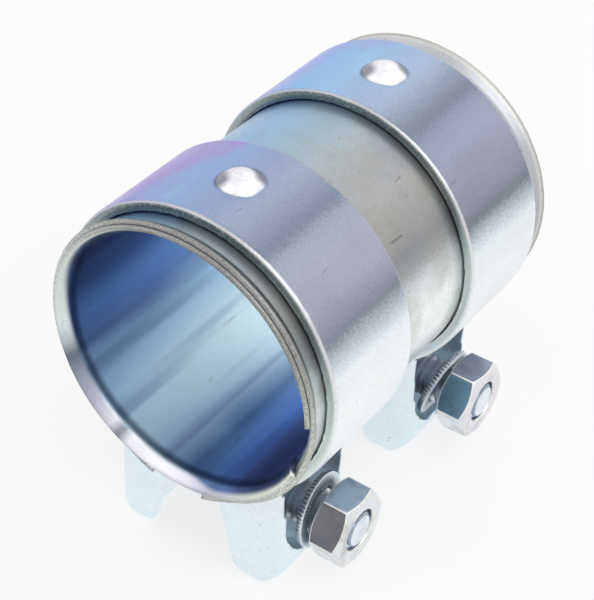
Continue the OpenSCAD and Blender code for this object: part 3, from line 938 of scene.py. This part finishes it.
def washer_size(node):
    """Centre, the way the outer face looks, radius and thickness of a CAD washer."""
    data = frame["nodes"][node].data
    low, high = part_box(node)
    centre = (low + high) / 2
    faces = [p for p in data.polygons if p.normal.x > 0.85]
    looks = sum((p.normal * p.area for p in faces), Vector()).normalized()
    heights = [(v.co - centre).dot(looks) for v in data.vertices]
    reach = max((v.co - centre).cross(looks).length for v in data.vertices)
    return centre, looks, reach, max(heights) - min(heights)


def washer(side):
    """A ribbed lock washer."""
    centre, looks, reach, thick = washer_size(side + "_washer")
    mesh = bmesh.new()
    top, low = thick / 2 - RIB_H["nut"], RIB_H["lug"] - thick / 2
    outline = [(WASHER_HOLE_R, low), (WASHER_HOLE_R + TOOTH_BEVEL, low), (reach - TOOTH_BEVEL, low),
               (reach, low + TOOTH_BEVEL), (reach, top - 0.1 * MM), (reach - 0.1 * MM, top),
               (WASHER_HOLE_R + 0.5 * MM, top), (WASHER_HOLE_R, top - 0.2 * MM)]
    ring = [mesh.verts.new((r, 0, z)) for r, z in outline]
    edges = [mesh.edges.new((ring[i - 1], ring[i])) for i in range(len(ring))]
    bmesh.ops.spin(mesh, geom=ring + edges, cent=(0, 0, 0), axis=(0, 0, 1), angle=2 * math.pi,
                   steps=RIBS * RIB_STEPS, use_merge=True, use_duplicate=False)
    bmesh.ops.remove_doubles(mesh, verts=mesh.verts, dist=0.0005 * MM)
    # The crest value paints shade in the valleys and highlights on the crests and the smooth rim.
    stands = mesh.verts.layers.float.new("crest")
    for vert in mesh.verts:
        turn = math.atan2(vert.co.y, vert.co.x) / (2 * math.pi) * RIBS
        crest = 0.5 + 0.5 * math.cos(2 * math.pi * turn)
        radius = math.hypot(vert.co.x, vert.co.y)
        smooth_rim = radius > reach - 0.1 * MM and vert.co.z > low + TOOTH_BEVEL + 0.05 * MM
        vert[stands] = 1.0 if smooth_rim else crest
        if radius < WASHER_HOLE_R + 0.1 * MM or smooth_rim:
            continue
        if vert.co.z > 0:
            vert.co.z += RIB_H["nut"] * crest
        elif radius < reach - 0.1 * MM:
            vert.co.z -= RIB_H["lug"] * crest
        else:
            shrink = 1 - 0.3 * MM * (1 - crest) / radius
            vert.co.x *= shrink
            vert.co.y *= shrink
    bmesh.ops.recalc_face_normals(mesh, faces=mesh.faces[:])
    for face in mesh.faces:
        centre_r = math.hypot(*face.calc_center_median()[:2])
        face.material_index = 1 if centre_r > reach - TOOTH_BEVEL and face.normal.z < 0.8 else 0
    bmesh.ops.rotate(mesh, cent=(0, 0, 0), verts=mesh.verts,
                     matrix=Vector((0, 0, 1)).rotation_difference(looks).to_matrix())
    bmesh.ops.translate(mesh, vec=centre, verts=mesh.verts)
    smooth_by_angle(finish_piece(mesh, side + "_washer", [washer_plating, washer_rim]), 40)
    print(side, "washer:", round(2 * reach / MM, 2), "mm across,", round(thick / MM, 2), "mm thick, leans by",
          round(math.degrees(looks.angle(Vector((1, 0, 0)))), 1), "degrees")


for side in BAND_Y:
    washer(side)

# %% [markdown]
# The stage is a plain pale floor under an even pale sky. Camera and mirror rays see white, as in
# a studio tent, while the light that falls on the metal is kept lower, so that colours render
# about as they are written. Three large soft lamps, hardly brighter than the tent itself, give
# the metal its slow highlights without burning them out.

# %% Stage
FLOOR_HALF = 1.6
FLOOR_TONE = "fbfbfb"
FLOOR_GLOW = 0.75


def seen_directly(tree, to_camera=1.0):
    """1 for rays that show the surroundings in metal or through glass, and a given share for camera rays."""
    path = add(tree, "LightPath")
    seen = calc(tree, "MAXIMUM", path.outputs["Is Transmission Ray"], path.outputs["Is Glossy Ray"])
    return calc(tree, "MAXIMUM", seen, times(tree, path.outputs["Is Camera Ray"], to_camera))


floor_mesh = bmesh.new()
bmesh.ops.create_grid(floor_mesh, x_segments=1, y_segments=1, size=FLOOR_HALF,
                      matrix=Matrix.Translation((0, 0, cad_box[0][2])))
floor_data = bpy.data.meshes.new("floor")
floor_mesh.to_mesh(floor_data)
floor_mesh.free()
floor = bpy.data.objects.new("floor", floor_data)
bpy.context.scene.collection.objects.link(floor)
floor_paint = bpy.data.materials.new("floor_paint")
floor_paint.use_nodes = True
paint = floor_paint.node_tree
matt = paint.nodes["Principled BSDF"]
matt.inputs["Base Color"].default_value = tone(FLOOR_TONE)
matt.inputs["Roughness"].default_value = 0.9
glow = add(paint, "Emission", {"Color": (1, 1, 1, 1), "Strength": 1.0})
mixed = add(paint, "MixShader", {0: seen_directly(paint, FLOOR_GLOW),
                                 1: matt.outputs[0], 2: glow.outputs[0]})
paint.links.new(mixed.outputs[0], paint.nodes["Material Output"].inputs["Surface"])
floor.data.materials.append(floor_paint)

world = bpy.data.worlds.new("tent")
world.use_nodes = True
sky = world.node_tree
sky.nodes.clear()
strength = fade(sky, seen_directly(sky), 0, 1, 0.7, 1.0)
light = add(sky, "Background", {"Color": (1, 1, 1, 1), "Strength": strength})
out = add(sky, "OutputWorld", {"Surface": light.outputs[0]})
bpy.context.scene.world = world
bpy.context.scene.view_settings.view_transform = "Standard"


def soft_lamp(name, place, size, watts):
    """A square soft box that looks at the middle of the part."""
    data = bpy.data.lights.new(name, "AREA")
    data.size = size
    data.energy = watts
    lamp = bpy.data.objects.new(name, data)
    lamp.location = place
    lamp.rotation_mode = "QUATERNION"
    lamp.rotation_quaternion = (-Vector(place)).to_track_quat("-Z", "Y")
    bpy.context.scene.collection.objects.link(lamp)


soft_lamp("key", (0.55, -0.15, 0.75), 0.8, 2.6)
soft_lamp("fill", (-0.6, -0.5, 0.5), 0.9, 1.0)
soft_lamp("back", (0.1, 0.8, 0.6), 0.9, 1.0)
print("stage set, floor at", round(cad_box[0][2] / MM, 2), "mm")
